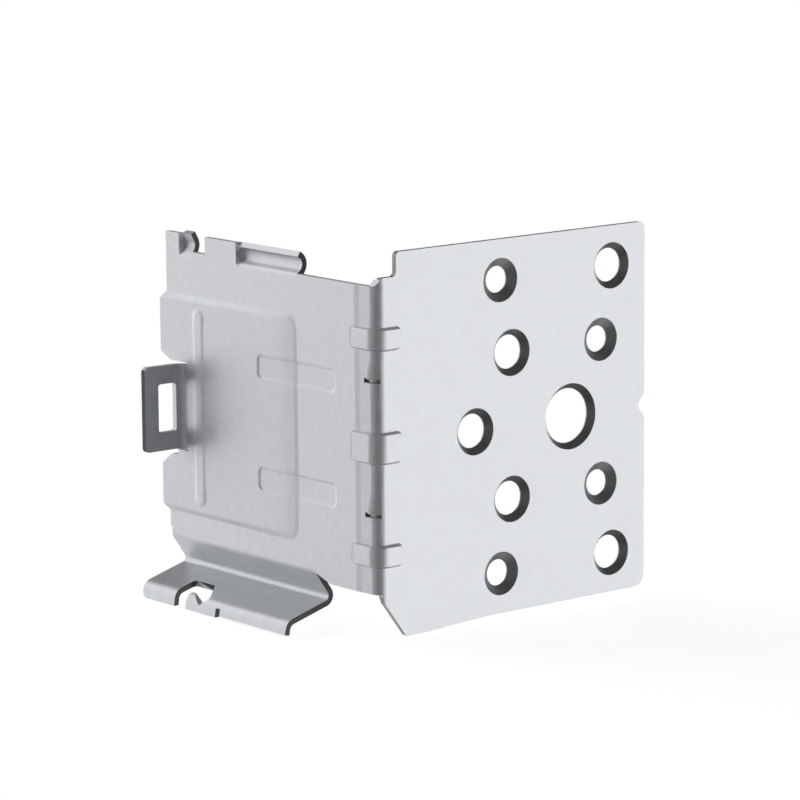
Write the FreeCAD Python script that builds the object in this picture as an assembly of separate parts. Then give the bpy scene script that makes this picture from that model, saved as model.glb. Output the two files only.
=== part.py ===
"""Stud bracket: one piece of galvanised sheet, punched, pressed and folded.

A screw plate stands at a right angle to a pressed wing. The wing has a hooked strip along its top,
a grooved ledge with a lip along its bottom and a windowed loop tab bent out of its free edge.

Working axes: x runs along the plate and y along the wing, both from the bend, and z is up from the
mid-line. The show faces lie in y = 0 (plate) and x = 0 (wing). Millimetres and degrees.
"""
import FreeCAD, Part
import math
import os

from FreeCAD import Vector

# Sheet and main fold
SHEET = 1.0
BEND_INSIDE = 0.9

# Strip of the wing beside the fold, set back a little behind the show face and leaning out to it
FOLD_STRIP_REACH = 4.3
FOLD_STRIP_SET_BACK = 0.3
FOLD_STRIP_STEP = 0.12
FOLD_STRIP_EASING = 1.2
FOLD_STRIP_ROUND = 0.3

# Screw plate
PLATE_REACH = 60.6
PLATE_HEIGHT = 64.8
PLATE_TOP_CORNER = 1.2
PLATE_BOTTOM_CORNER = 2.2
STEP_REACH = 4.6
STEP_DROP = 4.1
STEP_CORNER = 0.8
FOLD_STEP_START = 0.5
FOLD_STEP_END = 1.6
FOLD_STEP_ROUND = 0.4
FOOT_STEP_REACH = 1.7
FOOT_STEP_DROP = 1.6
FOOT_CORNER_REACH = 6.3
FOOT_CORNER_ROUND = 0.8
TOE_DROP = 0.7
TOE_REACH = 9.5
TOE_END = 24.0
TOE_ROUND = 15.0
EDGE_NOTCH_DEPTH = 1.6
EDGE_NOTCH_WIDTH = 4.4
EDGE_NOTCH_ROUND = 0.9

# Screw holes: dimpled cones that end in a short straight land a little behind the back face
HOLE_GROUP_FROM_EDGE = 20.5
OUTER_ROW_FROM_EDGE = 7.0
OUTER_COLUMNS = 25.4
INNER_COLUMNS = 20.4
PILOT_FROM_GROUP = 18.4
LARGE_HOLE_FROM_GROUP = 3.2
HOLE_DEPTH = 1.35
HOLE_LAND = 0.25
HOLE_LIP = 0.45
HOLE_COLLAR_ROOT = 0.2
SMALL_RIM = 7.6
SMALL_BORE = 4.6
MIDDLE_RIM = 8.1
MIDDLE_BORE = 5.9
LARGE_RIM = 11.6
LARGE_BORE = 9.6

# Wing outline
WING_REACH = 58.1
WING_TOP = 26.9
WING_BOTTOM = 25.3
PANEL_PAST_EDGE = 0.85

# Pressed panel with its bead, and the two sunk ribs that cross its edge
PANEL_FROM_BEND = 20.9
PANEL_TOP_MARGIN = 6.9
PANEL_BOTTOM_MARGIN = 5.8
PANEL_CORNER = 2.6
PANEL_RISE = 0.9
PANEL_WALL = 1.5
BEAD_FROM_EDGE = 10.05
BEAD_WIDTH = 3.7
BEAD_CORNER = 1.8
BEAD_END_MARGIN = 2.0
BEAD_RISE = 0.25
BEAD_WALL = 1.2
RIB_FROM_BEND = 10.6
RIB_INTO_PANEL = 11.0
RIB_OFFSET = 9.8
RIB_WIDTH = 4.6
RIB_CORNER = 1.3
RIB_DEPTH = 0.35
RIB_WALL = 0.7

# Stiffening ribs over the main fold, and the barbs between them
FOLD_RIB_PITCH = 18.4
FOLD_RIB_HEIGHT = 4.0
MIDDLE_FOLD_RIB_HEIGHT = 5.5
FOLD_RIB_LOWERED = 0.42
FOLD_RIB_RISE = 0.6
FOLD_RIB_WALL = 0.5
FOLD_RIB_CORNER = 0.9
FOLD_RIB_ON_PLATE = 5.5
FOLD_RIB_ON_WING = 7.0
FOLD_RIB_HOLLOW_INSET = 0.55
BARB_OFFSET = 11.4
BARB_LENGTH = 4.2
BARB_RISE = 0.7
BARB_SPREAD = 60.0
BARB_HOLLOW_SHARE = 0.5
BARB_GAP = 0.8
BARB_GAP_DEPTH = 0.45
BARB_GAP_ON_WING = 3.2

# Hooked strip along the wing's top
HOOK_FOLD_BELOW_TOP = 1.1
HOOK_HEIGHT = 4.0
HOOK_FLAT_HEIGHT = 4.7
HOOK_ROOT = 0.9
HOOK_GROOVE_HEIGHT = 2.75
HOOK_DEPTH = 2.3
HOOK_STUB_DEPTH = 1.3
HOOK_FLAT_DEPTH = 0.08
HOOK_TOP_SHARE = 0.17
HOOK_ROOT_BEND = 0.3
HOOK_GROOVE_BEND = 1.4
HOOK_FROM_BEND = 21.0
HOOK_FINGER_FROM_EDGE = 20.3
HOOK_FINGER_LENGTH = 8.9
HOOK_EASING = 0.9
HOOK_SLOT = 4.2
HOOK_STUB_LENGTH = 2.4
HOOK_STUB_EASING = 0.9
HOOK_SLOT_FLOOR = 1.7

# Grooved ledge with its lip along the wing's bottom
LEDGE_FROM_BEND = 16.6
LEDGE_RELIEF = 3.9
LEDGE_FOLD_ABOVE_BOTTOM = 1.3
LEDGE_ROOT = 1.6
LEDGE_GROOVE_DEPTH = 3.3
LEDGE_GROOVE_DROP = 4.9
LEDGE_REACH = 6.4
LEDGE_FALL = 2.7
LIP_DROP = 2.3
LONG_LIP = 0.4
LIP_LEAN = 0.4
LEDGE_ROOT_BEND = 0.8
LEDGE_GROOVE_BEND = 0.9
LIP_BEND = 1.2
LIP_NOTCH_FROM_EDGE = 22.4
LIP_NOTCH = 1.4
LIP_NOTCH_HEIGHT = 1.3
LIP_NOTCH_ROUND = 0.3
LIP_CORNER = 1.2
LEDGE_END_FROM_EDGE = 0.4

# Window through the ledge and lip, which leaves a spiked finger and the tongue at the free edge
TONGUE_FROM_EDGE = 9.8
LEDGE_WINDOW_BACK = 2.0
LEDGE_WINDOW_ROUND = 0.8
LEDGE_WINDOW_FROM_EDGE = 15.6
FINGER_FROM_EDGE = 13.1
FINGER_SPIKE_WIDTH = 0.8
FINGER_SPIKE_TOP = 3.3
FINGER_NECK_FROM_EDGE = 16.9
FINGER_NECK_HEIGHT = 1.3
FINGER_ROOT_FROM_EDGE = 18.7
FINGER_ROOT_HEIGHT = 2.6

# Loop tab bent out of the wing's free edge
TAB_FROM_EDGE = 4.7
TAB_REACH = 7.7
TAB_HEIGHT = 15.1
TAB_BEND_INSIDE = 1.9
TAB_CORNER = 0.8
TAB_BAR = 2.9
TAB_WINDOW_HEIGHT = 8.6
TAB_WINDOW_FROM_SHEET = 1.1
TAB_WINDOW_ROUND = 0.5
TAB_SLIT = 0.35
TAB_RELIEF_REACH = 2.0
TAB_RELIEF_RISE = 1.7
TAB_BOTTOM_RELIEF = 1.3
TAB_BOTTOM_RELIEF_FALL = 3.3

# How the pressed walls are drawn: sections of a half cosine, from a small first slope
WALL_SECTIONS = 7
WALL_FIRST_SHARE = 0.1
# How far a cutting or joining solid runs past the face it works on
OVERRUN = 0.5
# Angle in plan at which the barbs look out of the fold's corner
BARB_LOOKS_OUT = 210.0
# Points nearer than this are one point
SAME_POINT = 1e-6

BEND_OUTSIDE = BEND_INSIDE + SHEET
FOLD_AXIS = FOLD_STRIP_SET_BACK + BEND_OUTSIDE
HALF_PLATE = PLATE_HEIGHT / 2
PLATE_LOW = -HALF_PLATE - TOE_DROP
HOLE_GROUP = PLATE_REACH - HOLE_GROUP_FROM_EDGE
OUTER_ROW = HALF_PLATE - OUTER_ROW_FROM_EDGE
INNER_ROW = OUTER_ROW / 2
HOOK_BASE = WING_TOP - HOOK_FOLD_BELOW_TOP
LEDGE_FOLD = -WING_BOTTOM + LEDGE_FOLD_ABOVE_BOTTOM
LEDGE_BASE = LEDGE_FOLD + LEDGE_ROOT
LEDGE_GROOVE = LEDGE_FOLD - LEDGE_GROOVE_DROP
LEDGE_FRONT = LEDGE_GROOVE - LEDGE_FALL
LIP_END = LEDGE_FRONT - LIP_DROP - LONG_LIP
PANEL_LOW = -WING_BOTTOM + PANEL_BOTTOM_MARGIN
PANEL_HIGH = WING_TOP - PANEL_TOP_MARGIN
PANEL_EDGE = WING_REACH + PANEL_PAST_EDGE
FOLD_STRIP_END = FOLD_STRIP_REACH + FOLD_STRIP_EASING + FOLD_STRIP_ROUND
TAB_FACE = WING_REACH - TAB_FROM_EDGE
HALF_TAB = TAB_HEIGHT / 2
HOOK_FINGER_START = WING_REACH - HOOK_FINGER_FROM_EDGE
HOOK_FINGER_END = HOOK_FINGER_START + HOOK_FINGER_LENGTH
HOOK_STUB_START = HOOK_FINGER_END + HOOK_SLOT
HOOK_FLAT_START = HOOK_STUB_START + HOOK_STUB_LENGTH + HOOK_STUB_EASING
HOOK_FLAT_TOP = HOOK_BASE + HOOK_FLAT_HEIGHT


def on_plate(a, b, out=0.0):
    """Point of the plate: a along it, b up, out in front of its show face."""
    return Vector(a, -out, b)


def on_wing(a, b, out=0.0):
    """Point of the wing: a along it, b up, out in front of its show face."""
    return Vector(-out, a, b)


def in_plan(a, b):
    """Point of the plan: a along the plate, b along the wing, on the mid-line."""
    return Vector(a, b, 0)


def wing_section_at(station):
    """Gives a placing function for sections across the wing at a distance along it."""
    return lambda a, b: Vector(a, station, b)


def direction(start, end):
    """Unit vector from one (a, b) point to another."""
    along = end[0] - start[0]
    across = end[1] - start[1]
    length = math.hypot(along, across)
    return along / length, across / length


def corner_stops(before, corner, after):
    """Start, middle and end of the tangent arc that rounds an (a, b, radius) corner."""
    a, b, radius = corner
    into = direction(before, corner)
    out = direction(corner, after)
    half_turn = math.acos(into[0] * out[0] + into[1] * out[1]) / 2
    reach = radius * math.tan(half_turn)
    depth = radius / math.cos(half_turn) - radius
    inward = direction(into, out)
    start = (a - into[0] * reach, b - into[1] * reach)
    middle = (a + inward[0] * depth, b + inward[1] * depth)
    end = (a + out[0] * reach, b + out[1] * reach)
    return start, middle, end


def rounded_edges(corners, place, closed):
    """Lines and tangent arcs through (a, b, radius) corners, put in space by place."""
    count = len(corners)
    stops = []
    for index, corner in enumerate(corners):
        point = corner[:2]
        at_end = not closed and index in (0, count - 1)
        if at_end or corner[2] == 0:
            stops.append((point, None, point))
        else:
            stops.append(corner_stops(corners[index - 1], corner, corners[(index + 1) % count]))
    edges = []
    for index, (start, middle, end) in enumerate(stops):
        if middle:
            edges.append(Part.Arc(place(*start), place(*middle), place(*end)).toShape())
        if closed or index < count - 1:
            line_start = place(*end)
            line_end = place(*stops[(index + 1) % count][0])
            if not line_start.isEqual(line_end, SAME_POINT):
                edges.append(Part.makeLine(line_start, line_end))
    return edges


def outline_face(corners, place):
    """Flat face inside a closed outline of (a, b, radius) corners."""
    return Part.Face(Part.Wire(rounded_edges(corners, place, closed=True)))


def rectangle(low_a, high_a, low_b, high_b, corner):
    """Corners of a rounded rectangle."""
    lower = [(low_a, low_b, corner), (high_a, low_b, corner)]
    upper = [(high_a, high_b, corner), (low_a, high_b, corner)]
    return lower + upper


def box(low, high):
    """Box between two corners."""
    size = [high[axis] - low[axis] for axis in range(3)]
    return Part.makeBox(*size, Vector(*low))


def strip_section(path, place, side):
    """Closed section of folded sheet.

    path holds (a, b, inside bend radius) points of the show face, and the sheet's thickness lies to
    its left (side 1) or right (side -1).
    """
    front = []
    back = []
    for index, (a, b, inside) in enumerate(path):
        into = direction(path[max(index, 1) - 1], path[max(index, 1)])
        last = min(index + 1, len(path) - 1)
        out = direction(path[last - 1], path[last])
        mitre = 1 + into[0] * out[0] + into[1] * out[1]
        shift_a = -side * SHEET * (into[1] + out[1]) / mitre
        shift_b = side * SHEET * (into[0] + out[0]) / mitre
        turns_to_back = side * (into[0] * out[1] - into[1] * out[0]) > 0
        front.append((a, b, inside + SHEET if turns_to_back else inside))
        back.append((a + shift_a, b + shift_b, inside if turns_to_back else inside + SHEET))
    back.reverse()
    edges = rounded_edges(front, place, closed=False)
    edges.append(Part.makeLine(place(*front[-1][:2]), place(*back[0][:2])))
    edges += rounded_edges(back, place, closed=False)
    edges.append(Part.makeLine(place(*back[-1][:2]), place(*front[0][:2])))
    return Part.Wire(edges)


def wall_stops(rise, wall):
    """Pairs of how far in and how far out a pressed wall has come, from its foot to its top."""
    first_rise = (1 - math.cos(math.pi * WALL_FIRST_SHARE)) / 2
    stops = []
    for step in range(WALL_SECTIONS):
        share = WALL_FIRST_SHARE + (1 - WALL_FIRST_SHARE) * step / (WALL_SECTIONS - 1)
        inset = wall * (share - WALL_FIRST_SHARE)
        out = rise * ((1 - math.cos(math.pi * share)) / 2 - first_rise) / (1 - first_rise)
        stops.append((inset, out))
    return stops


def pressed_form(foot, rise, wall, place):
    """Solid of a form pressed out of a face, with walls that rise as half a cosine from their foot.

    foot is (low a, high a, low b, high b, corner), and place(a, b, out) puts it in space.
    """
    low_a, high_a, low_b, high_b, corner = foot
    sections = []
    for inset, out in wall_stops(rise, wall):
        corners = rectangle(low_a + inset, high_a - inset, low_b + inset, high_b - inset, corner - inset)
        edges = rounded_edges(corners, lambda a, b, level=out: place(a, b, level), closed=True)
        sections.append(Part.Wire(edges))
    walls = Part.makeLoft(sections, True, False)
    inward = place(0, 0, -OVERRUN) - place(0, 0, 0)
    root = Part.Face(sections[0]).extrude(inward)
    return walls.fuse(root)


def moved(shape, x=0.0, y=0.0, z=0.0):
    """Copy of a shape, shifted."""
    copy = shape.copy()
    copy.translate(Vector(x, y, z))
    return copy


def plate_and_bend():
    """Screw plate with the main fold, cut to its outline seen from the front."""
    path = [
        (PLATE_REACH, 0, 0),
        (FOLD_STRIP_SET_BACK, 0, BEND_INSIDE),
        (FOLD_STRIP_STEP, FOLD_STRIP_REACH, FOLD_STRIP_ROUND),
        (0, FOLD_STRIP_REACH + FOLD_STRIP_EASING, FOLD_STRIP_ROUND),
        (0, FOLD_STRIP_END, 0),
    ]
    rise = Vector(0, 0, HALF_PLATE - PLATE_LOW)
    blank = moved(Part.Face(strip_section(path, in_plan, side=-1)).extrude(rise), z=PLATE_LOW)
    half_notch = EDGE_NOTCH_WIDTH / 2
    notch_tip = PLATE_REACH - EDGE_NOTCH_DEPTH
    step_floor = HALF_PLATE - STEP_DROP
    corners = [
        (-OVERRUN, -WING_BOTTOM, 0),
        (FOLD_AXIS - BEND_INSIDE, -WING_BOTTOM, 0),
        (FOOT_STEP_REACH, -WING_BOTTOM - FOOT_STEP_DROP, 0),
        (FOOT_CORNER_REACH, PLATE_LOW, FOOT_CORNER_ROUND),
        (TOE_REACH, PLATE_LOW, TOE_ROUND),
        (TOE_END, -HALF_PLATE, TOE_ROUND),
        (PLATE_REACH, -HALF_PLATE, PLATE_BOTTOM_CORNER),
        (PLATE_REACH, -half_notch, EDGE_NOTCH_ROUND),
        (notch_tip, 0, EDGE_NOTCH_ROUND),
        (PLATE_REACH, half_notch, EDGE_NOTCH_ROUND),
        (PLATE_REACH, HALF_PLATE, PLATE_TOP_CORNER),
        (STEP_REACH, HALF_PLATE, STEP_CORNER),
        (STEP_REACH, step_floor, STEP_CORNER),
        (FOLD_STEP_END, step_floor, FOLD_STEP_ROUND),
        (FOLD_STEP_START, WING_TOP, 0),
        (-OVERRUN, WING_TOP, 0),
    ]
    outline = outline_face(corners, on_plate).extrude(Vector(0, FOLD_STRIP_END, 0))
    high = box((-OVERRUN, BEND_OUTSIDE, WING_TOP), (FOLD_AXIS, FOLD_STRIP_END, HALF_PLATE))
    low = box((-OVERRUN, BEND_OUTSIDE, PLATE_LOW), (FOLD_AXIS, FOLD_STRIP_END, -WING_BOTTOM))
    return blank.common(outline).cut([high, low])


def screw_holes():
    """Place across, place up, rim and bore of each of the plate's holes."""
    holes = [
        (HOLE_GROUP - PILOT_FROM_GROUP, 0, MIDDLE_RIM, MIDDLE_BORE),
        (HOLE_GROUP + LARGE_HOLE_FROM_GROUP, 0, LARGE_RIM, LARGE_BORE),
    ]
    for half in (-1, 1):
        holes += [
            (HOLE_GROUP - OUTER_COLUMNS / 2, half * OUTER_ROW, SMALL_RIM, SMALL_BORE),
            (HOLE_GROUP + OUTER_COLUMNS / 2, half * OUTER_ROW, MIDDLE_RIM, MIDDLE_BORE),
            (HOLE_GROUP - INNER_COLUMNS / 2, half * INNER_ROW, MIDDLE_RIM, MIDDLE_BORE),
            (HOLE_GROUP + INNER_COLUMNS / 2, half * INNER_ROW, SMALL_RIM, SMALL_BORE),
        ]
    return holes


def dimple_hole(plate, across, up, rim, bore):
    """Dimples the plate back round one hole, and cuts the hole's cone through it."""
    into_sheet = Vector(0, 1, 0)
    collar_start = SHEET - HOLE_COLLAR_ROOT
    behind = on_plate(across, up, -collar_start)
    collar = Part.makeCone(rim / 2, bore / 2 + HOLE_LIP, HOLE_DEPTH - collar_start, behind, into_sheet)
    front = on_plate(across, up)
    cone = Part.makeCone(rim / 2, bore / 2, HOLE_DEPTH - HOLE_LAND, front, into_sheet)
    land = Part.makeCylinder(bore / 2, HOLE_DEPTH + OVERRUN, front, into_sheet)
    return plate.fuse(collar).cut([cone, land])


def raise_form(sheet, foot, rise, wall, level):
    """Presses a form forward out of the wing, where its show face lies level in front of x = 0."""
    form = pressed_form(foot, rise, wall, lambda a, b, out=0.0: on_wing(a, b, level + out))
    return sheet.fuse(form).cut(moved(form, x=SHEET))


def sink_forms(sheet, forms):
    """Presses forms back into the wing; each form is a (foot, level) pair."""
    tools = []
    for foot, level in forms:
        back_from = lambda a, b, out=0.0, face=level: on_wing(a, b, face - out)
        tools.append(pressed_form(foot, RIB_DEPTH, RIB_WALL, back_from))
    for tool in tools:
        sheet = sheet.fuse(moved(tool, x=SHEET))
    for tool in tools:
        sheet = sheet.cut(tool)
    return sheet


def wing_outline():
    """Cutting outline of the flat of the wing, with the room round the loop tab."""
    slit = HALF_TAB + TAB_SLIT
    bend_start = TAB_FACE - TAB_BEND_INSIDE
    relief_end = WING_REACH - TAB_RELIEF_REACH
    slot_floor = HOOK_BASE + HOOK_SLOT_FLOOR
    return [
        (FOLD_STRIP_END, -WING_BOTTOM, 0),
        (LEDGE_FROM_BEND - LEDGE_RELIEF, -WING_BOTTOM, LEDGE_RELIEF),
        (LEDGE_FROM_BEND, LEDGE_FOLD, 0),
        (LEDGE_FROM_BEND, LEDGE_BASE, 0),
        (WING_REACH, LEDGE_BASE, 0),
        (WING_REACH, PANEL_LOW, TAB_WINDOW_ROUND),
        (PANEL_EDGE, PANEL_LOW + PANEL_WALL, TAB_WINDOW_ROUND),
        (PANEL_EDGE, -HALF_TAB - TAB_BOTTOM_RELIEF_FALL, TAB_WINDOW_ROUND),
        (relief_end, -HALF_TAB - TAB_BOTTOM_RELIEF, TAB_WINDOW_ROUND),
        (TAB_FACE + SHEET, -HALF_TAB - TAB_BOTTOM_RELIEF, 0),
        (TAB_FACE + SHEET, -slit, 0),
        (bend_start, -slit, 0),
        (bend_start, slit, 0),
        (relief_end, slit, 0),
        (PANEL_EDGE, HALF_TAB + TAB_RELIEF_RISE, TAB_WINDOW_ROUND),
        (PANEL_EDGE, PANEL_HIGH - PANEL_WALL, TAB_WINDOW_ROUND),
        (WING_REACH, PANEL_HIGH, TAB_WINDOW_ROUND),
        (WING_REACH, HOOK_FLAT_TOP, 0),
        (HOOK_FLAT_START, HOOK_FLAT_TOP, 0),
        (HOOK_FLAT_START, HOOK_BASE, 0),
        (HOOK_STUB_START, HOOK_BASE, 0),
        (HOOK_STUB_START, slot_floor, 0),
        (HOOK_FINGER_END, slot_floor, 0),
        (HOOK_FINGER_END, HOOK_FLAT_TOP, 0),
        (HOOK_FINGER_START, HOOK_FLAT_TOP, 0),
        (HOOK_FINGER_START, HOOK_BASE, 0),
        (HOOK_FROM_BEND, HOOK_BASE, 0),
        (HOOK_FROM_BEND, WING_TOP, 0),
        (FOLD_STRIP_END, WING_TOP, 0),
    ]


def pressed_wing():
    """Flat of the wing with its panel, bead and sunk ribs, cut to outline."""
    past_edge = PANEL_EDGE + PANEL_CORNER + PANEL_WALL + OVERRUN
    sheet = box((0, FOLD_STRIP_END, -WING_BOTTOM), (SHEET, past_edge + OVERRUN, HOOK_FLAT_TOP))
    panel = (PANEL_FROM_BEND, past_edge, PANEL_LOW, PANEL_HIGH, PANEL_CORNER)
    sheet = raise_form(sheet, panel, PANEL_RISE, PANEL_WALL, level=0)
    bead_mid = WING_REACH - BEAD_FROM_EDGE
    half_bead = BEAD_WIDTH / 2
    bead = (
        bead_mid - half_bead,
        bead_mid + half_bead,
        PANEL_LOW + BEAD_END_MARGIN,
        PANEL_HIGH - BEAD_END_MARGIN,
        BEAD_CORNER,
    )
    sheet = raise_form(sheet, bead, BEAD_RISE, BEAD_WALL, level=PANEL_RISE)
    forms = []
    for half in (-1, 1):
        low = half * RIB_OFFSET - RIB_WIDTH / 2
        high = half * RIB_OFFSET + RIB_WIDTH / 2
        before_panel = (RIB_FROM_BEND, PANEL_FROM_BEND + PANEL_WALL / 2, low, high, RIB_CORNER)
        in_panel = (PANEL_FROM_BEND - RIB_WALL, PANEL_FROM_BEND + RIB_INTO_PANEL, low, high, RIB_CORNER)
        forms += [(before_panel, 0.0), (in_panel, PANEL_RISE)]
    sheet = sink_forms(sheet, forms)
    depth = PANEL_RISE + BEAD_RISE + RIB_DEPTH + SHEET + OVERRUN
    cutter = outline_face(wing_outline(), on_wing).extrude(Vector(2 * depth, 0, 0))
    return sheet.common(moved(cutter, x=-depth))


def fold_rib(middle, height, depth, inset):
    """Rib over the main fold: a pressed arm on the plate, one on the wing and their section turned
    round the bend between them.

    depth is how far its base lies behind the show faces, and inset makes it smaller all round.
    """
    half = height / 2 - inset
    low = middle - half
    high = middle + half
    stops = wall_stops(FOLD_RIB_RISE, FOLD_RIB_WALL)
    rising = [(low + wall_in, -wall_out, 0) for wall_in, wall_out in stops]
    falling = [(high - wall_in, -wall_out, 0) for wall_in, wall_out in reversed(stops)]
    section = [(low, OVERRUN, 0)] + rising + falling + [(high, OVERRUN, 0)]
    across_fold = outline_face(section, lambda a, b: Vector(FOLD_AXIS, depth + b, a))
    bend = across_fold.revolve(Vector(FOLD_AXIS, BEND_OUTSIDE, middle), Vector(0, 0, -1), 90)
    past_fold = -FOLD_RIB_ON_WING
    on_plate_foot = (past_fold, FOLD_RIB_ON_PLATE - inset, low, high, FOLD_RIB_CORNER)
    on_wing_foot = (past_fold, FOLD_RIB_ON_WING - inset, low, high, FOLD_RIB_CORNER)
    from_plate = lambda a, b, out=0.0: on_plate(a, b, out - depth)
    from_strip = lambda a, b, out=0.0: on_wing(a, b, out - depth - FOLD_STRIP_SET_BACK)
    plate_arm = pressed_form(on_plate_foot, FOLD_RIB_RISE, FOLD_RIB_WALL, from_plate)
    wing_arm = pressed_form(on_wing_foot, FOLD_RIB_RISE, FOLD_RIB_WALL, from_strip)
    reach = FOLD_RIB_ON_WING
    plate_side = box((FOLD_AXIS, -reach, low), (FOLD_AXIS + reach, reach, high))
    wing_side = box((-reach, BEND_OUTSIDE, low), (reach, BEND_OUTSIDE + reach, high))
    return bend.fuse([plate_arm.common(plate_side), wing_arm.common(wing_side)])


def on_fold_corner(shape, low):
    """Puts a part turn about the fold's axis, so that its middle looks out where the barbs do."""
    axis = Vector(FOLD_AXIS, BEND_OUTSIDE, low)
    shape.translate(axis)
    shape.rotate(axis, Vector(0, 0, 1), BARB_LOOKS_OUT - BARB_SPREAD / 2)
    return shape


def barb(low, radius, rise):
    """Lanced barb on the fold's corner: part of a cone that widens downwards to a square-cut face."""
    cone = Part.makeCone(radius + rise, radius, BARB_LENGTH, Vector(), Vector(0, 0, 1), BARB_SPREAD)
    return on_fold_corner(cone, low)


def barb_gap(low):
    """Sheared gap that the lancing leaves under a barb."""
    up = Vector(0, 0, 1)
    floor = BEND_OUTSIDE - BARB_GAP_DEPTH
    outer = Part.makeCylinder(BEND_OUTSIDE + OVERRUN, BARB_GAP, Vector(), up, BARB_SPREAD)
    inner = Part.makeCylinder(floor, BARB_GAP, Vector(), up, BARB_SPREAD)
    on_wing_side = box(
        (-OVERRUN, BEND_OUTSIDE - OVERRUN, low - BARB_GAP),
        (FOLD_STRIP_SET_BACK + BARB_GAP_DEPTH, BARB_GAP_ON_WING, low),
    )
    return on_fold_corner(outer.cut(inner), low - BARB_GAP).fuse(on_wing_side)


def hook_section(station, depth, height):
    """Section of the top strip at a distance along the wing, with its groove that deep."""
    path = [
        (0, HOOK_BASE, 0),
        (0, HOOK_BASE + HOOK_ROOT, HOOK_ROOT_BEND),
        (depth, HOOK_BASE + HOOK_GROOVE_HEIGHT, HOOK_GROOVE_BEND),
        (depth * HOOK_TOP_SHARE, HOOK_BASE + height, 0),
    ]
    return strip_section(path, wing_section_at(station), side=-1)


def hook_run(start, end, depth, height):
    """Straight length of the top strip."""
    return Part.Face(hook_section(start, depth, height)).extrude(Vector(0, end - start, 0))


def hook_easing(start, end, depth, height):
    """Length of the top strip over which the groove fades out."""
    deep = hook_section(start, depth, height)
    flat = hook_section(end, HOOK_FLAT_DEPTH, HOOK_FLAT_HEIGHT)
    return Part.makeLoft([deep, flat], True, True)


def top_strip():
    """Grooved lengths of the strip along the wing's top, each with the end where it fades out."""
    groove_end = HOOK_FINGER_START - HOOK_EASING
    stub_end = HOOK_FLAT_START - HOOK_STUB_EASING
    return [
        hook_run(HOOK_FROM_BEND, groove_end, HOOK_DEPTH, HOOK_HEIGHT),
        hook_easing(groove_end, HOOK_FINGER_START, HOOK_DEPTH, HOOK_HEIGHT),
        hook_run(HOOK_STUB_START, stub_end, HOOK_STUB_DEPTH, HOOK_FLAT_HEIGHT),
        hook_easing(stub_end, HOOK_FLAT_START, HOOK_STUB_DEPTH, HOOK_FLAT_HEIGHT),
    ]


def ledge_run(start, end, lip_drop):
    """Length of the groove, ledge and lip along the wing's bottom."""
    path = [
        (0, LEDGE_BASE, 0),
        (0, LEDGE_FOLD, LEDGE_ROOT_BEND),
        (LEDGE_GROOVE_DEPTH, LEDGE_GROOVE, LEDGE_GROOVE_BEND),
        (-LEDGE_REACH, LEDGE_FRONT, LIP_BEND),
        (-LEDGE_REACH - LIP_LEAN, LEDGE_FRONT - lip_drop, 0),
    ]
    section = Part.Face(strip_section(path, wing_section_at(start), side=1))
    return section.extrude(Vector(0, end - start, 0))


def ledge_window():
    """Cutting solid of the window behind the finger and of the gap beside it."""
    tongue = WING_REACH - TONGUE_FROM_EDGE
    root = WING_REACH - FINGER_ROOT_FROM_EDGE
    behind_lip = -LEDGE_REACH + SHEET
    plan = [
        (behind_lip, root, 0),
        (behind_lip, tongue, 0),
        (-LEDGE_WINDOW_BACK, tongue, LEDGE_WINDOW_ROUND),
        (-LEDGE_WINDOW_BACK, WING_REACH - LEDGE_WINDOW_FROM_EDGE, LEDGE_WINDOW_ROUND),
    ]
    window = outline_face(plan, in_plan).extrude(Vector(0, 0, LEDGE_BASE - LIP_END))
    window = moved(window, z=LIP_END)
    finger = WING_REACH - FINGER_FROM_EDGE
    above_finger = [
        (finger, LIP_END - OVERRUN, 0),
        (tongue, LIP_END - OVERRUN, 0),
        (tongue, LEDGE_FOLD, 0),
        (root, LEDGE_FOLD, 0),
        (root, LIP_END + FINGER_ROOT_HEIGHT, 0),
        (WING_REACH - FINGER_NECK_FROM_EDGE, LIP_END + FINGER_NECK_HEIGHT, 0),
        (finger - FINGER_SPIKE_WIDTH, LIP_END + FINGER_SPIKE_TOP, 0),
        (finger, LIP_END + FINGER_SPIKE_TOP - FINGER_SPIKE_WIDTH, 0),
    ]
    place = lambda a, b: Vector(behind_lip, a, b)
    through_lip = outline_face(above_finger, place).extrude(Vector(-LEDGE_REACH, 0, 0))
    return window.fuse(through_lip)


def lip_outline(low_a, high_a, corner):
    """Outline that rounds the lower corners of a length of the lip."""
    top = LEDGE_BASE + OVERRUN
    return [(low_a, LIP_END, 0), (high_a, LIP_END, corner), (high_a, top, 0), (low_a, top, 0)]


def bottom_ledge():
    """Groove, ledge and lip along the wing's bottom, with the window, finger and tongue."""
    notch_at = WING_REACH - LIP_NOTCH_FROM_EDGE
    ledge_end = WING_REACH - LEDGE_END_FROM_EDGE
    long_run = ledge_run(notch_at, ledge_end, LIP_DROP + LONG_LIP)
    place = lambda a, b: Vector(LEDGE_GROOVE_DEPTH + SHEET, a, b)
    through = Vector(-2 * (LEDGE_GROOVE_DEPTH + LEDGE_REACH), 0, 0)
    outline = outline_face(lip_outline(notch_at, ledge_end, LIP_CORNER), place).extrude(through)
    strip = ledge_run(LEDGE_FROM_BEND, notch_at, LIP_DROP).fuse(long_run.common(outline))
    notch_corners = rectangle(
        notch_at - LIP_NOTCH / 2,
        notch_at + LIP_NOTCH / 2,
        LIP_END - OVERRUN,
        LIP_END + LONG_LIP + LIP_NOTCH_HEIGHT,
        LIP_NOTCH_ROUND,
    )
    behind_lip = lambda a, b: Vector(-LEDGE_REACH + SHEET, a, b)
    notch = outline_face(notch_corners, behind_lip).extrude(Vector(-LEDGE_REACH, 0, 0))
    return strip.cut([ledge_window(), notch])


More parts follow.
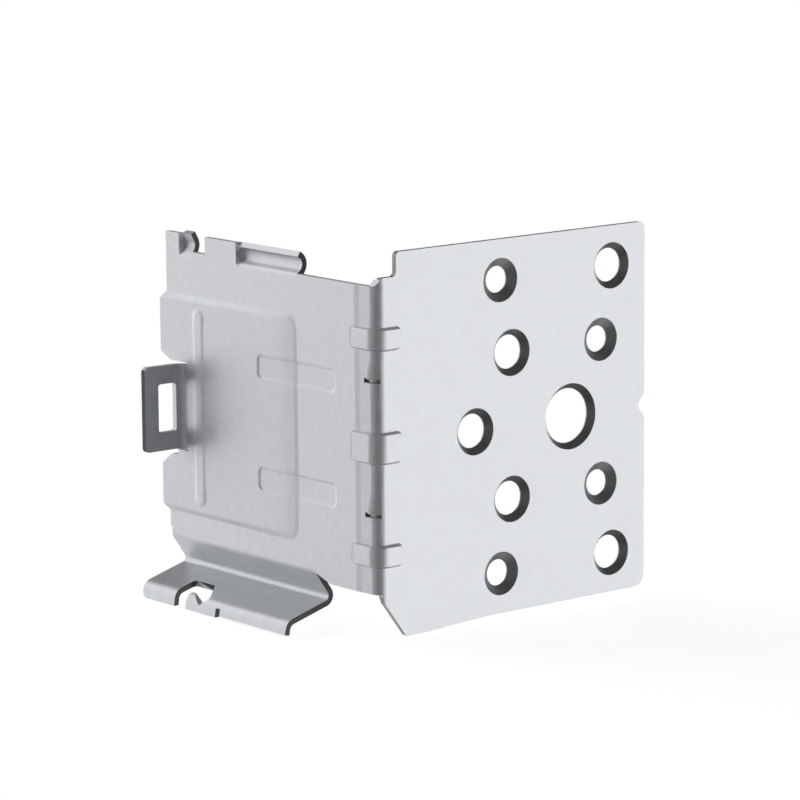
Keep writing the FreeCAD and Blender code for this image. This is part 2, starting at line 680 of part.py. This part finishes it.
def loop_tab():
    """Windowed tab that bends forward out of the panel."""
    panel_face = -PANEL_RISE
    bend_start = TAB_FACE - TAB_BEND_INSIDE
    tip = panel_face - TAB_REACH
    path = [
        (panel_face, bend_start - SHEET, 0),
        (panel_face, TAB_FACE, TAB_BEND_INSIDE),
        (tip, TAB_FACE, 0),
    ]
    strip = Part.Face(strip_section(path, in_plan, side=-1)).extrude(Vector(0, 0, TAB_HEIGHT))
    strip = moved(strip, z=-HALF_TAB)
    reach = SHEET + OVERRUN
    outline = [
        (reach, -HALF_TAB, 0),
        (reach, HALF_TAB, 0),
        (tip, HALF_TAB, TAB_CORNER),
        (tip, -HALF_TAB, TAB_CORNER),
    ]
    half_window = TAB_WINDOW_HEIGHT / 2
    window = rectangle(
        tip + TAB_BAR, panel_face - TAB_WINDOW_FROM_SHEET, -half_window, half_window, TAB_WINDOW_ROUND
    )
    along_wing = Vector(0, WING_REACH, 0)
    strip = strip.common(outline_face(outline, on_plate).extrude(along_wing))
    return strip.cut(outline_face(window, on_plate).extrude(along_wing))


def folded_bracket():
    """The whole bracket, on the working axes."""
    body = plate_and_bend()
    for hole in screw_holes():
        body = dimple_hole(body, *hole)
    body = body.fuse([pressed_wing(), bottom_ledge(), loop_tab()] + top_strip())
    for step in (-1, 0, 1):
        height = FOLD_RIB_HEIGHT if step else MIDDLE_FOLD_RIB_HEIGHT
        middle = step * FOLD_RIB_PITCH - FOLD_RIB_LOWERED
        body = body.fuse(fold_rib(middle, height, depth=0, inset=0))
        body = body.cut(fold_rib(middle, height, depth=SHEET, inset=FOLD_RIB_HOLLOW_INSET))
    for half in (-1, 1):
        low = half * BARB_OFFSET
        body = body.fuse(barb(low, BEND_OUTSIDE, BARB_RISE))
        body = body.cut([barb(low, BEND_INSIDE, BARB_RISE * BARB_HOLLOW_SHARE), barb_gap(low)])
    return body.removeSplitter()


def base_middle(shape):
    """Point under the middle of a shape, at its lowest level."""
    bounds = shape.optimalBoundingBox(False, False)
    return Vector(bounds.Center.x, bounds.Center.y, bounds.ZMin)


folded = folded_bracket()
origin = base_middle(folded)
stud_bracket = moved(folded, -origin.x, -origin.y, -origin.z)
os.makedirs("parts", exist_ok=True)
stud_bracket.exportStep("parts/stud_bracket.step")
volume = round(stud_bracket.Volume, 1)
print("solids", len(stud_bracket.Solids), "valid", stud_bracket.isValid(), "volume", volume)
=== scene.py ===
import math

import bmesh
import bpy
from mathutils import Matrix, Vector
from mathutils.bvhtree import BVHTree


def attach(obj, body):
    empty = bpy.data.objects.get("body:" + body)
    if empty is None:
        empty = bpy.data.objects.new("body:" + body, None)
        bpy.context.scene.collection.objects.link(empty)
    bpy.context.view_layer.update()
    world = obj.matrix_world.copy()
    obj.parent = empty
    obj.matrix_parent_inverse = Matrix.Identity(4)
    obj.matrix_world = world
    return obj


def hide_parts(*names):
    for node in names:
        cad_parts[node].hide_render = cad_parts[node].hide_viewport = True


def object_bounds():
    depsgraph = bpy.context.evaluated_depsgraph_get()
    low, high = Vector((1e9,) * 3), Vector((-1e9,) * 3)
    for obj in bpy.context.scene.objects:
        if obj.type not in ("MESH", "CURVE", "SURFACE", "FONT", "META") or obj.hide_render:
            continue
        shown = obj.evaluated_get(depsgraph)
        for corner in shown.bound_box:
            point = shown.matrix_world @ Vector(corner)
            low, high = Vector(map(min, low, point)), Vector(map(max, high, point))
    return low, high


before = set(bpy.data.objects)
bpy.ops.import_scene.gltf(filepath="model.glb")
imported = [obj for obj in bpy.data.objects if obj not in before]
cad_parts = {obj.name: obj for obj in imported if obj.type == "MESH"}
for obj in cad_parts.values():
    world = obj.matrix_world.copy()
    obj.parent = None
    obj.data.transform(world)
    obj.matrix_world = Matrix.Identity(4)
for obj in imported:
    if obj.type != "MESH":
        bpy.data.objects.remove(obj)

# Stud bracket of bright galvanised sheet with dark sheared edges, their dark partly painted shade, on
# a white studio floor

cad_low, cad_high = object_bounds()

# Sheet and outline, in metres in the part's own frame
SHEET = 0.001
PLATE_REACH = 0.0606
PANEL_EDGE = 0.05895
FOOT_DROP = 0.0343
PLATE_START = 0.0014
HOLES_START = 0.01
FOLD_STRIP = 0.0062
EDGE_ROUND = 0.00025
EDGE_STEPS = 3
EDGE_PROFILE = 0.5

# Barbs lanced out of the fold
BARB_REACH = 0.0034
BARB_OFFSET = 0.0114
BARB_GAP = 0.0008
BARB_GAP_HALF = 0.6 * BARB_GAP

# Panel pressed out of the wing, and the crease that its step beside the fold is eased to
PANEL_START = 0.0209
PANEL_WALL = 0.0015
PANEL_LOW = -0.0195
PANEL_HIGH = 0.02
PANEL_RISE = 0.0009
PANEL_DEPTH = 2 * SHEET
PANEL_EASE = 0.0046
PANEL_EASE_STEPS = 8
EASED_RISE = 0.00033
EASE_BOW = 5.5

# Ribs sunk across the panel's step, and the share of the bead's height that is kept
RIB_START = 0.0106
RIB_END = 0.0319
RIB_OFFSET = 0.0098
RIB_WIDTH = 0.0046
RIB_CORNER = 0.0013
RIB_WALL = 0.0007
RIB_DEPTH = 0.00022
BEAD_END = 0.0505
BEAD_KEPT = 0.65

# Limits that tell one kind of face or edge from another
MERGE_GAP = 1e-6
FLAT_ANGLE = math.radians(0.05)
CREASE_ANGLE = math.radians(32)
LOOKS_UP = 0.5
LOOKS_FORWARD = 0.2
LOOKS_SQUARE = 0.97
CUT_DEPTH = 1.6 * SHEET
SKIN = 0.01 * SHEET

# Corner of the fold on the mid-line, from which the distances along plate and wing are measured
FOLD = Vector((cad_high[0] - PLATE_REACH, cad_high[1] - PANEL_EDGE, cad_low[2] + FOOT_DROP))

# The photograph's camera, placed from the fold
CAMERA_PLACE = FOLD + Vector((-0.417148, -0.514248, 0.12751))
CAMERA_TURN = (math.radians(79.774), math.radians(0.446), math.radians(-39.479))
CAMERA_LENS = 182.79
CAMERA_SENSOR = 36.0
CAMERA_REACH = 20.0

# Colours and finishes; the cloud's edges are levels of its noise
ZINC = (0.76, 0.785, 0.815, 1.0)
ZINC_PALE = (0.82, 0.84, 0.865, 1.0)
ZINC_METALLIC = 0.38
ZINC_ROUGHNESS = (0.42, 0.48)
CLOUD_SCALE = 420.0
CLOUD_DETAIL = 3.0
CLOUD_TINT_EDGE = (0.35, 0.65)
CLOUD_ROUGH_EDGE = (0.3, 0.7)
# Near-black for the wing's cut edges: bare steel, darkened far past its own grey as painted shade on
# edges that look sideways and down
BARE_CUT_PAINTED_SHADE = (0.06, 0.061, 0.064, 1.0)
BARE_CUT_ROUGHNESS = 0.55
# Dark zinc for the holes' walls and the gaps under the barbs: punched metal, darkened further as
# painted shade inside these recesses
PUNCHED_ZINC_PAINTED_SHADE = (0.33, 0.335, 0.34, 1.0)
PUNCHED_METALLIC = 0.8
PUNCHED_ROUGHNESS = 0.4
# Grey for the plate's cut edges and its rounded front rim: partly the cut steel's own grey, partly a
# painted shade line round the outline
CUT_OUTLINE_PAINTED_SHADE = (0.36, 0.355, 0.35, 1.0)
CUT_OUTLINE_ROUGHNESS = 0.5
CUT_METALLIC = 0.5
WHITE = (1.0, 1.0, 1.0, 1.0)

# Order of the bracket's materials
ON_ZINC, ON_BARE_CUT_PAINTED_SHADE, ON_PUNCHED_PAINTED_SHADE, ON_OUTLINE_PAINTED_SHADE = range(4)

# Floor and overhead lamp
FLOOR_WHITE = (0.45, 0.45, 0.45, 1.0)
FLOOR_REACH = 8.0
FLOOR_GLOW = 0.88
LAMP_SIZE = 1.2
LAMP_POWER = 0.3
LAMP_HEIGHT = 0.9

# Lights of the tent; an edge is where a light is dark and where it is full, as shares of a direction
# along the camera's right, towards the camera (near) and up
SCREEN_LIGHT = 2.5
SCREEN_RIGHT_EDGE = (0.2, 0.55)
SCREEN_FAR_EDGE = (-0.6, -0.2)
SCREEN_NEAR_EDGE = (0.82, 0.47)
SCREEN_TOP_EDGE = (0.5, 0.05)
SCREEN_FOOT_EDGE = (-0.75, -0.35)
SCREEN_FOOT_SHARE = 0.3
SWEEP_LIGHT = 2.3
SWEEP_FOOT_LIGHT = 1.3
SWEEP_FOOT_EDGE = (-0.5, -0.1)
SWEEP_NEAR_EDGE = (0.07, -0.22)
SWEEP_RIGHT_EDGE = (0.1, -0.35)
SWEEP_TOP_EDGE = (0.35, 0.05)
SWEEP_TOP_SHARE = 0.05
SWEEP_LEFT_EDGE = (-0.45, -0.72)
SWEEP_LEFT_TOP_EDGE = (0.95, 0.7)
FILL_LIGHT = 0.6
FILL_RIGHT_EDGE = (-0.25, -0.8)
FILL_TOP_EDGE = (0.35, 0.05)
FRONT_LIGHT = 0.15
FRONT_EDGE = (0.7, 0.95)
BEHIND_LIGHT = 0.6
BEHIND_EDGE = (-0.65, -0.9)
BEHIND_TOP_EDGE = (0.45, 0.2)
ROOM_LIGHT = 0.04
SEEN_LIGHT = 1.0

# Places of the mix node's sockets, several of which share a name
MIX_VALUES = (2, 3)
MIX_COLOURS = (6, 7)
MIX_COLOUR_RESULT = 2


def linked(tree, kind, **settings):
    """New node with its settings."""
    node = tree.nodes.new(kind)
    for name, value in settings.items():
        setattr(node, name, value)
    return node


def faded(tree, value, edge, low=0.0, high=1.0):
    """Smooth step of a value from low to high across an edge."""
    node = linked(tree, "ShaderNodeMapRange", interpolation_type="SMOOTHSTEP")
    node.inputs["From Min"].default_value = edge[0]
    node.inputs["From Max"].default_value = edge[1]
    node.inputs["To Min"].default_value = low
    node.inputs["To Max"].default_value = high
    tree.links.new(value, node.inputs["Value"])
    return node.outputs["Result"]


def combined(tree, operation, first, *others):
    """Chain of math nodes over several values; any but the first may be a number."""
    for other in others:
        node = linked(tree, "ShaderNodeMath", operation=operation)
        tree.links.new(first, node.inputs[0])
        if isinstance(other, float):
            node.inputs[1].default_value = other
        else:
            tree.links.new(other, node.inputs[1])
        first = node.outputs[0]
    return first


def galvanised_steel():
    """Zinc coat: bright, a little blue, with a faint cloudy spangle."""
    material = bpy.data.materials.new("galvanised_steel")
    material.use_nodes = True
    tree = material.node_tree
    shader = tree.nodes["Principled BSDF"]
    shader.inputs["Metallic"].default_value = ZINC_METALLIC
    place = linked(tree, "ShaderNodeTexCoord")
    cloud = linked(tree, "ShaderNodeTexNoise")
    cloud.inputs["Scale"].default_value = CLOUD_SCALE
    cloud.inputs["Detail"].default_value = CLOUD_DETAIL
    tree.links.new(place.outputs["Object"], cloud.inputs["Vector"])
    tint = linked(tree, "ShaderNodeMix", data_type="RGBA")
    for socket, colour in zip(MIX_COLOURS, (ZINC, ZINC_PALE)):
        tint.inputs[socket].default_value = colour
    tree.links.new(faded(tree, cloud.outputs["Fac"], CLOUD_TINT_EDGE), tint.inputs["Factor"])
    tree.links.new(tint.outputs[MIX_COLOUR_RESULT], shader.inputs["Base Color"])
    rough = faded(tree, cloud.outputs["Fac"], CLOUD_ROUGH_EDGE, *ZINC_ROUGHNESS)
    tree.links.new(rough, shader.inputs["Roughness"])
    return material


def plain_metal(name, colour, metallic, roughness):
    """Worked metal of one colour, for sheared edges and punched holes, darkened as painted shade on
    them.
    """
    material = bpy.data.materials.new(name)
    material.use_nodes = True
    shader = material.node_tree.nodes["Principled BSDF"]
    shader.inputs["Base Color"].default_value = colour
    shader.inputs["Metallic"].default_value = metallic
    shader.inputs["Roughness"].default_value = roughness
    return material


def bracket_materials():
    """The bracket's materials in their order."""
    return [
        galvanised_steel(),
        plain_metal("bare_cut_painted_shade", BARE_CUT_PAINTED_SHADE, CUT_METALLIC, BARE_CUT_ROUGHNESS),
        plain_metal("punched_zinc_painted_shade", PUNCHED_ZINC_PAINTED_SHADE, PUNCHED_METALLIC, PUNCHED_ROUGHNESS),
        plain_metal("cut_outline_painted_shade", CUT_OUTLINE_PAINTED_SHADE, CUT_METALLIC, CUT_OUTLINE_ROUGHNESS),
    ]


def is_punched(face, from_fold):
    """Whether a face lines one of the plate's holes."""
    if from_fold.x < HOLES_START or abs(face.normal.y) > LOOKS_SQUARE:
        return False
    on_cone = face.normal.y < -LOOKS_FORWARD
    on_land = abs(face.normal.y) < LOOKS_FORWARD and from_fold.y > SHEET
    return on_cone or on_land


def is_plate_edge(face, from_fold):
    """Whether a face is part of the plate's cut outline."""
    on_plate = from_fold.x > PLATE_START and -EDGE_ROUND < from_fold.y < SHEET
    return on_plate and -LOOKS_FORWARD < face.normal.y < LOOKS_FORWARD


def is_in_barb_gap(face):
    """Whether a face lies wholly in the sheared gap under one of the barbs."""
    # Faces that look up are left out; the rest get the dark zinc that paints the shade in the gap
    if face.normal.z > LOOKS_UP:
        return False
    for vert in face.verts:
        from_fold = vert.co - FOLD
        below_barb = min(abs(from_fold.z - half * BARB_OFFSET + BARB_GAP / 2) for half in (-1, 1))
        if max(from_fold.x, from_fold.y) > BARB_REACH or below_barb > BARB_GAP_HALF:
            return False
    return True


def is_lanced(face, middle, steel):
    """Whether a face is a cut edge of the wing, with no sheet close behind it."""
    # Faces that look up keep the zinc; the rest get the near-black that paints shade on the cut edges
    if middle.y - FOLD.y < FOLD_STRIP or face.normal.z > LOOKS_UP:
        return False
    hit = steel.ray_cast(middle - face.normal * SKIN, -face.normal, CUT_DEPTH)
    return hit[0] is None


def is_plate_outline(edge):
    """Whether an edge bounds the plate's show face along its outline."""
    if len(edge.link_faces) != 2:
        return False
    looks = sorted(face.normal.y for face in edge.link_faces)
    on_plate = min(vert.co.x for vert in edge.verts) - FOLD.x > BARB_REACH
    return on_plate and looks[0] < -LOOKS_SQUARE and abs(looks[1]) < LOOKS_FORWARD


def eased_rise(along):
    """How far the panel stands out along the wing: nearly flush by the fold, full at the edge."""
    eased_at = PANEL_START + PANEL_WALL + PANEL_EASE
    slope = (PANEL_RISE - EASED_RISE) / (PANEL_EDGE - eased_at)
    rise = EASED_RISE + slope * (along - eased_at)
    if along < eased_at:
        rise -= EASE_BOW * (eased_at - max(along, eased_at - PANEL_EASE)) ** 2
    return rise


def smooth_share(share):
    """Smooth step from 0 to 1."""
    share = min(max(share, 0.0), 1.0)
    return share * share * (3 - 2 * share)


def rib_inset(along, up):
    """How far inside the outline of a rib a point of the wing lies; below 0 outside."""
    past_end = max(RIB_CORNER - min(along - RIB_START, RIB_END - along), 0.0)
    past_side = max(RIB_CORNER - RIB_WIDTH / 2 + abs(abs(up) - RIB_OFFSET), 0.0)
    return RIB_CORNER - math.hypot(past_end, past_side)


def eased_depth(depth, along, up):
    """New place across the sheet of a point that lies depth behind the wing's flat on its own side."""
    rise = eased_rise(along)
    inset = rib_inset(along, up)
    if inset >= 0:
        panel = rise * smooth_share((along - PANEL_START) / PANEL_WALL)
        return RIB_DEPTH * smooth_share(inset / RIB_WALL) - panel
    if depth >= -PANEL_RISE:
        return depth * rise / PANEL_RISE
    kept = BEAD_KEPT if along < BEAD_END else 1.0
    return kept * (depth + PANEL_RISE) - rise


def panel_faces(work):
    """Faces of the pressed panel, its walls and the ribs that run into it."""
    faces = []
    for face in work.faces:
        points = [vert.co - FOLD for vert in face.verts]
        level = all(PANEL_LOW - MERGE_GAP < point.z < PANEL_HIGH + MERGE_GAP for point in points)
        if level and all(point.y > FOLD_STRIP and abs(point.x) < PANEL_DEPTH for point in points):
            faces.append(face)
    return faces


def ease_panel(work):
    """Turns the panel's step beside the fold into the soft crease of a lightly pressed sheet."""
    for step in range(PANEL_EASE_STEPS + 1):
        cut_at = PANEL_START + (PANEL_WALL + PANEL_EASE) * step / PANEL_EASE_STEPS
        faces = panel_faces(work)
        edges = {edge for face in faces for edge in face.edges}
        verts = {vert for face in faces for vert in face.verts}
        bmesh.ops.bisect_plane(
            work,
            geom=faces + list(edges) + list(verts),
            dist=MERGE_GAP,
            plane_co=FOLD + Vector((0.0, cut_at, 0.0)),
            plane_no=(0.0, 1.0, 0.0),
        )
    work.normal_update()
    for vert in work.verts:
        from_fold = vert.co - FOLD
        if from_fold.y < FOLD_STRIP or not PANEL_LOW < from_fold.z < PANEL_HIGH:
            continue
        flat = SHEET if vert.normal.x > 0 else 0.0
        vert.co.x = FOLD.x + flat + eased_depth(from_fold.x - flat, from_fold.y, from_fold.z)
    work.normal_update()


def round_outline(work):
    """Rounds the front of the plate's outline and returns the new faces."""
    bevel = bmesh.ops.bevel(
        work,
        geom=[edge for edge in work.edges if is_plate_outline(edge)],
        offset=EDGE_ROUND,
        segments=EDGE_STEPS,
        profile=EDGE_PROFILE,
        affect="EDGES",
        clamp_overlap=True,
    )
    work.faces.index_update()
    work.normal_update()
    return set(bevel["faces"])


def set_finishes(work, rounded):
    """Gives each face its material."""
    steel = BVHTree.FromBMesh(work)
    for face in work.faces:
        face.smooth = True
        middle = face.calc_center_median()
        # The plate's rounded rim and cut edges get the grey painted shade line
        if face in rounded or is_plate_edge(face, middle - FOLD):
            face.material_index = ON_OUTLINE_PAINTED_SHADE
        # Hole walls and barb gaps get the dark zinc, as painted shade inside them
        elif is_punched(face, middle - FOLD) or is_in_barb_gap(face):
            face.material_index = ON_PUNCHED_PAINTED_SHADE
        # The wing's cut edges get the near-black painted shade
        elif is_lanced(face, middle, steel):
            face.material_index = ON_BARE_CUT_PAINTED_SHADE
        else:
            face.material_index = ON_ZINC


def flat_areas(work):
    """Area of the flat that each face belongs to, by face index."""
    areas = {}
    for seed in work.faces:
        if seed.index in areas:
            continue
        flat = {seed}
        edge_of_flat = [seed]
        while edge_of_flat:
            face = edge_of_flat.pop()
            for edge in face.edges:
                if len(edge.link_faces) == 2 and edge.calc_face_angle() < FLAT_ANGLE:
                    new = set(edge.link_faces) - flat
                    flat |= new
                    edge_of_flat.extend(new)
        area = sum(face.calc_area() for face in flat)
        for face in flat:
            areas[face.index] = area
    return areas


def smooth_fan(loop):
    """Faces round a corner's vertex that no crease divides from the corner's own face."""
    vert = loop.vert
    fan = {loop.face}
    front = [loop.face]
    while front:
        face = front.pop()
        for edge in face.edges:
            if vert in edge.verts and edge.smooth:
                new = set(edge.link_faces) - fan
                fan |= new
                front.extend(new)
    return fan


def flat_normals(work):
    """Normal of every face corner, in which the larger flats outweigh the small faces beside them."""
    for edge in work.edges:
        edge.smooth = len(edge.link_faces) == 2 and edge.calc_face_angle() < CREASE_ANGLE
    areas = flat_areas(work)
    normals = []
    for face in work.faces:
        for loop in face.loops:
            total = Vector()
            for near in smooth_fan(loop):
                total += near.normal * areas[near.index]
            normals.append(total.normalized())
    return normals


def dressed_bracket():
    """Bracket with its panel eased, its outline rounded and its sheared faces set apart in dark
    materials that paint their shade.
    """
    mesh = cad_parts["stud_bracket"].data.copy()
    mesh.name = "bracket"
    mesh.materials.clear()
    for material in bracket_materials():
        mesh.materials.append(material)
    work = bmesh.new()
    work.from_mesh(mesh)
    bmesh.ops.remove_doubles(work, verts=work.verts, dist=MERGE_GAP)
    work.normal_update()
    ease_panel(work)
    set_finishes(work, round_outline(work))
    normals = flat_normals(work)
    work.to_mesh(mesh)
    work.free()
    mesh.normals_split_custom_set(normals)
    bracket = bpy.data.objects.new("bracket", mesh)
    bpy.context.scene.collection.objects.link(bracket)
    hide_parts("stud_bracket")
    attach(bracket, "root")


def white_floor():
    """White paper that glows only to the camera, so that the shadow on it stays faint."""
    material = bpy.data.materials.new("white_floor")
    material.use_nodes = True
    tree = material.node_tree
    tree.nodes.clear()
    out = linked(tree, "ShaderNodeOutputMaterial")
    paper = linked(tree, "ShaderNodeBsdfDiffuse")
    paper.inputs["Color"].default_value = FLOOR_WHITE
    glow = linked(tree, "ShaderNodeEmission")
    path = linked(tree, "ShaderNodeLightPath")
    seen = combined(tree, "MULTIPLY", path.outputs["Is Camera Ray"], FLOOR_GLOW)
    tree.links.new(seen, glow.inputs["Strength"])
    both = linked(tree, "ShaderNodeAddShader")
    tree.links.new(paper.outputs[0], both.inputs[0])
    tree.links.new(glow.outputs[0], both.inputs[1])
    tree.links.new(both.outputs[0], out.inputs["Surface"])
    return material


def studio_floor():
    """Wide floor under the part."""
    work = bmesh.new()
    bmesh.ops.create_grid(work, x_segments=1, y_segments=1, size=FLOOR_REACH)
    mesh = bpy.data.meshes.new("floor")
    work.to_mesh(mesh)
    work.free()
    mesh.materials.append(white_floor())
    floor = bpy.data.objects.new("floor", mesh)
    bpy.context.scene.collection.objects.link(floor)
    floor.visible_glossy = False


def tent_sides(tree):
    """How far a direction in the tent lies to the camera's right, towards the camera and up."""
    place = linked(tree, "ShaderNodeTexCoord")
    turn = CAMERA_TURN[2]
    sides = (
        (math.cos(turn), math.sin(turn), 0.0),
        (math.sin(turn), -math.cos(turn), 0.0),
        (0.0, 0.0, 1.0),
    )
    shares = []
    for way in sides:
        dot = linked(tree, "ShaderNodeVectorMath", operation="DOT_PRODUCT")
        dot.inputs[1].default_value = way
        tree.links.new(place.outputs["Generated"], dot.inputs[0])
        shares.append(dot.outputs["Value"])
    return shares


def screen_light(tree, right, near, up):
    """Bright screen on the right, which the plate reflects."""
    return combined(
        tree,
        "MULTIPLY",
        faded(tree, right, SCREEN_RIGHT_EDGE),
        faded(tree, near, SCREEN_FAR_EDGE),
        faded(tree, near, SCREEN_NEAR_EDGE),
        faded(tree, up, SCREEN_TOP_EDGE),
        faded(tree, up, SCREEN_FOOT_EDGE, SCREEN_FOOT_SHARE),
        SCREEN_LIGHT,
    )


def sweep_light(tree, right, near, up):
    """Bright sweep at the back on the left, which the wing reflects; its left end stands higher."""
    level = faded(tree, up, SWEEP_TOP_EDGE, SWEEP_TOP_SHARE)
    left_end = combined(
        tree,
        "MULTIPLY",
        faded(tree, right, SWEEP_LEFT_EDGE),
        faded(tree, up, SWEEP_LEFT_TOP_EDGE),
    )
    return combined(
        tree,
        "MULTIPLY",
        faded(tree, near, SWEEP_NEAR_EDGE),
        faded(tree, right, SWEEP_RIGHT_EDGE),
        faded(tree, up, SWEEP_FOOT_EDGE, SWEEP_FOOT_LIGHT, SWEEP_LIGHT),
        combined(tree, "MAXIMUM", level, left_end),
    )


def faint_lights(tree, right, near, up):
    """Fill on the left, and faint light from the camera's side and from behind the part."""
    fill = faded(tree, right, FILL_RIGHT_EDGE, high=FILL_LIGHT)
    behind = faded(tree, near, BEHIND_EDGE, high=BEHIND_LIGHT)
    return [
        combined(tree, "MULTIPLY", fill, faded(tree, up, FILL_TOP_EDGE)),
        faded(tree, near, FRONT_EDGE, high=FRONT_LIGHT),
        combined(tree, "MULTIPLY", behind, faded(tree, up, BEHIND_TOP_EDGE)),
    ]


def studio_tent():
    """White tent round the part, which the camera itself sees as plain white."""
    world = bpy.data.worlds.new("studio_tent")
    world.use_nodes = True
    bpy.context.scene.world = world
    tree = world.node_tree
    background = tree.nodes["Background"]
    background.inputs["Color"].default_value = WHITE
    sides = tent_sides(tree)
    lights = [screen_light(tree, *sides), sweep_light(tree, *sides), *faint_lights(tree, *sides)]
    lit = combined(tree, "ADD", combined(tree, "MAXIMUM", *lights), ROOM_LIGHT)
    path = linked(tree, "ShaderNodeLightPath")
    strength = linked(tree, "ShaderNodeMix")
    tree.links.new(path.outputs["Is Camera Ray"], strength.inputs["Factor"])
    tree.links.new(lit, strength.inputs[MIX_VALUES[0]])
    strength.inputs[MIX_VALUES[1]].default_value = SEEN_LIGHT
    tree.links.new(strength.outputs[0], background.inputs["Strength"])


def soft_box():
    """Large soft lamp overhead, for the shadow on the floor."""
    lamp = bpy.data.lights.new("soft_box", "AREA")
    lamp.shape = "SQUARE"
    lamp.size = LAMP_SIZE
    lamp.energy = LAMP_POWER
    box = bpy.data.objects.new("soft_box", lamp)
    box.location = (0.0, 0.0, LAMP_HEIGHT)
    bpy.context.scene.collection.objects.link(box)


def photo_camera():
    """Camera at the photograph's place and angle."""
    lens = bpy.data.cameras.new("photo_camera")
    lens.lens = CAMERA_LENS
    lens.sensor_width = CAMERA_SENSOR
    lens.clip_end = CAMERA_REACH
    camera = bpy.data.objects.new("photo_camera", lens)
    camera.location = CAMERA_PLACE
    camera.rotation_euler = CAMERA_TURN
    bpy.context.scene.collection.objects.link(camera)
    bpy.context.scene.camera = camera


dressed_bracket()
studio_floor()
studio_tent()
soft_box()
photo_camera()
bpy.context.scene.view_settings.view_transform = "Standard"
